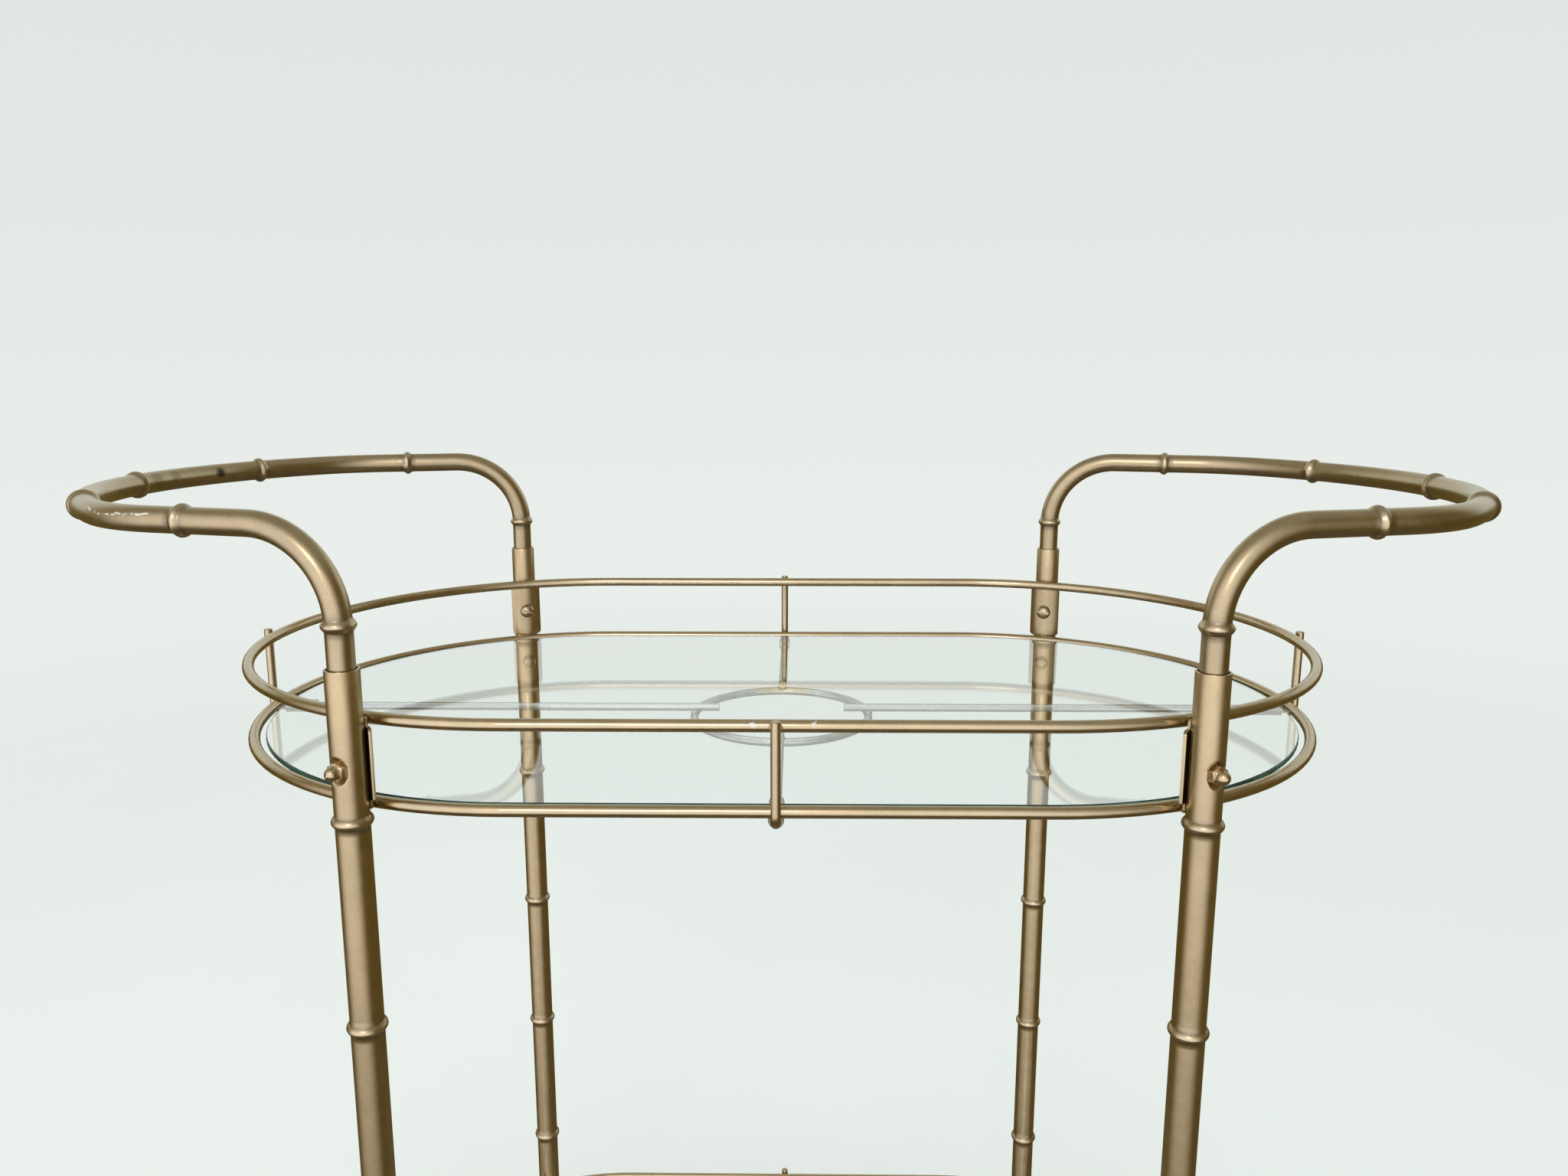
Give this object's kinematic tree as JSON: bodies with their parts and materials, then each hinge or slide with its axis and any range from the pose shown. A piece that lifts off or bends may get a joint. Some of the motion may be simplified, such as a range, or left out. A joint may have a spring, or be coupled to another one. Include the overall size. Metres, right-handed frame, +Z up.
{
  "type": "serving cart",
  "caption": "Serving cart of beaded gold-finished tube, with oval glass shelves in wire galleries, loop handles at both ends and swivel casters.",
  "frame": {"origin": "on the floor, under the middle of the cart", "axes": "+X along the cart towards its right handle, +Y from front to back, +Z up"},
  "size_m": [0.7806, 0.3858, 0.755],
  "materials": {
    "satin_gold": "satin champagne-gold metallic lacquer",
    "gold_hardware": "satin, lacquered with the frame",
    "clear_glass": "clear, ground edge with a green tint",
    "clear_vinyl": "translucent, soft",
    "black_plastic": "moulded",
    "plated_steel": "zinc plated",
    "caster_gold": "satin champagne-gold metallic lacquer",
    "white_nylon": "moulded",
    "hub_plastic": "moulded",
    "grey_tyre": "matt grey rubber"
  },
  "bodies": {
    "frame": {"leg_front_left": "satin_gold", "leg_front_right": "satin_gold", "leg_back_left": "satin_gold", "leg_back_right": "satin_gold", "handle_left": "satin_gold", "handle_right": "satin_gold", "top_shelf_upper_rail": "satin_gold", "top_shelf_lower_rail": "satin_gold", "top_shelf_front_post": "satin_gold", "top_shelf_back_post": "satin_gold", "top_shelf_left_post": "satin_gold", "top_shelf_right_post": "satin_gold", "top_shelf_centre_ring": "satin_gold", "top_shelf_saddle_front_left": "satin_gold", "top_shelf_saddle_front_right": "satin_gold", "top_shelf_saddle_back_left": "satin_gold", "top_shelf_saddle_back_right": "satin_gold", "top_shelf_glass": "clear_glass", "top_shelf_glass_pads": "clear_vinyl", "top_shelf_screws": "gold_hardware", "top_shelf_acorn_nuts": "gold_hardware", "bottom_shelf_upper_rail": "satin_gold", "bottom_shelf_lower_rail": "satin_gold", "bottom_shelf_front_post": "satin_gold", "bottom_shelf_back_post": "satin_gold", "bottom_shelf_left_post": "satin_gold", "bottom_shelf_right_post": "satin_gold", "bottom_shelf_centre_ring": "satin_gold", "bottom_shelf_saddle_front_left": "satin_gold", "bottom_shelf_saddle_front_right": "satin_gold", "bottom_shelf_saddle_back_left": "satin_gold", "bottom_shelf_saddle_back_right": "satin_gold", "bottom_shelf_glass": "clear_glass", "bottom_shelf_glass_pads": "clear_vinyl", "bottom_shelf_screws": "gold_hardware", "bottom_shelf_acorn_nuts": "gold_hardware", "caster_sockets": "black_plastic", "caster_stems": "plated_steel"},
    "swivel_front_left": {"caster_fork_front_left": "caster_gold", "caster_axle_front_left": "plated_steel", "caster_washer_front_left": "white_nylon"},
    "wheel_front_left": {"caster_hub_front_left": "hub_plastic", "caster_tyre_front_left": "grey_tyre"},
    "swivel_front_right": {"caster_fork_front_right": "caster_gold", "caster_axle_front_right": "plated_steel", "caster_washer_front_right": "white_nylon"},
    "wheel_front_right": {"caster_hub_front_right": "hub_plastic", "caster_tyre_front_right": "grey_tyre"},
    "swivel_back_left": {"caster_fork_back_left": "caster_gold", "caster_axle_back_left": "plated_steel", "caster_washer_back_left": "white_nylon"},
    "wheel_back_left": {"caster_hub_back_left": "hub_plastic", "caster_tyre_back_left": "grey_tyre"},
    "swivel_back_right": {"caster_fork_back_right": "caster_gold", "caster_axle_back_right": "plated_steel", "caster_washer_back_right": "white_nylon"},
    "wheel_back_right": {"caster_hub_back_right": "hub_plastic", "caster_tyre_back_right": "grey_tyre"}
  },
  "joints": [
    {"name": "swivel_front_left", "type": "hinge", "parent": "frame", "child": "swivel_front_left", "pos_m": [-0.1966, -0.17792, 0.054], "axis": [0, 0, 1], "continuous": true},
    {"name": "roll_front_left", "type": "hinge", "parent": "swivel_front_left", "child": "wheel_front_left", "pos_m": [-0.1766, -0.17792, 0.025], "axis": [0, 1, 0], "continuous": true},
    {"name": "swivel_front_right", "type": "hinge", "parent": "frame", "child": "swivel_front_right", "pos_m": [0.1966, -0.17792, 0.054], "axis": [0, 0, 1], "continuous": true},
    {"name": "roll_front_right", "type": "hinge", "parent": "swivel_front_right", "child": "wheel_front_right", "pos_m": [0.2166, -0.17792, 0.025], "axis": [0, 1, 0], "continuous": true},
    {"name": "swivel_back_left", "type": "hinge", "parent": "frame", "child": "swivel_back_left", "pos_m": [-0.1966, 0.17792, 0.054], "axis": [0, 0, 1], "continuous": true},
    {"name": "roll_back_left", "type": "hinge", "parent": "swivel_back_left", "child": "wheel_back_left", "pos_m": [-0.1766, 0.17792, 0.025], "axis": [0, 1, 0], "continuous": true},
    {"name": "swivel_back_right", "type": "hinge", "parent": "frame", "child": "swivel_back_right", "pos_m": [0.1966, 0.17792, 0.054], "axis": [0, 0, 1], "continuous": true},
    {"name": "roll_back_right", "type": "hinge", "parent": "swivel_back_right", "child": "wheel_back_right", "pos_m": [0.2166, 0.17792, 0.025], "axis": [0, 1, 0], "continuous": true}
  ]
}
